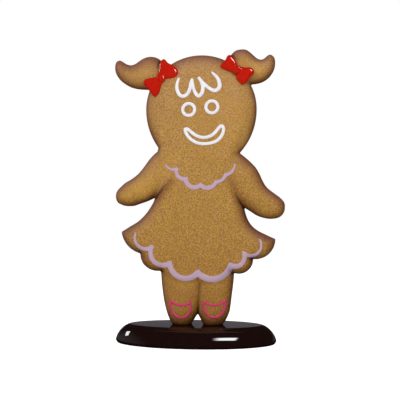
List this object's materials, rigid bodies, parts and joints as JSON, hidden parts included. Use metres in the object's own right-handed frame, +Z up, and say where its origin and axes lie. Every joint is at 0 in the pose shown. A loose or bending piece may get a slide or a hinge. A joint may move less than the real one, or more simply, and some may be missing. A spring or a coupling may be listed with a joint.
{
  "type": "gingerbread girl display figure",
  "caption": "Moulded display figure of an iced gingerbread girl with pigtails and bows, in a scalloped dress, standing on a glossy oval base.",
  "frame": {"origin": "middle of the base's flat underside, on the floor", "axes": "+Z up, the face looks along -Y, +X on the right of someone who faces the figure"},
  "size_m": [0.5318, 0.2692, 0.91],
  "materials": {
    "gingerbread": "speckled golden-brown sprayed paint on moulded resin, browned darker at the edges",
    "white_icing": "glossy white enamel on a raised rounded line",
    "lilac_icing": "satin lilac paint on a raised rounded line",
    "pink_icing": "glossy hot pink enamel on a raised rounded line",
    "red_bow": "high-gloss red enamel",
    "base_gloss": "high-gloss near-black brown enamel"
  },
  "bodies": {
    "root": {"base": "base_gloss", "biscuit": "gingerbread", "hair": "white_icing", "eye_left": "white_icing", "eye_right": "white_icing", "mouth": "white_icing", "collar": "lilac_icing", "hem_trim": "lilac_icing", "shoe_left": "pink_icing", "shoe_right": "pink_icing", "bow_left": "red_bow", "bow_right": "red_bow"}
  },
  "joints": []
}
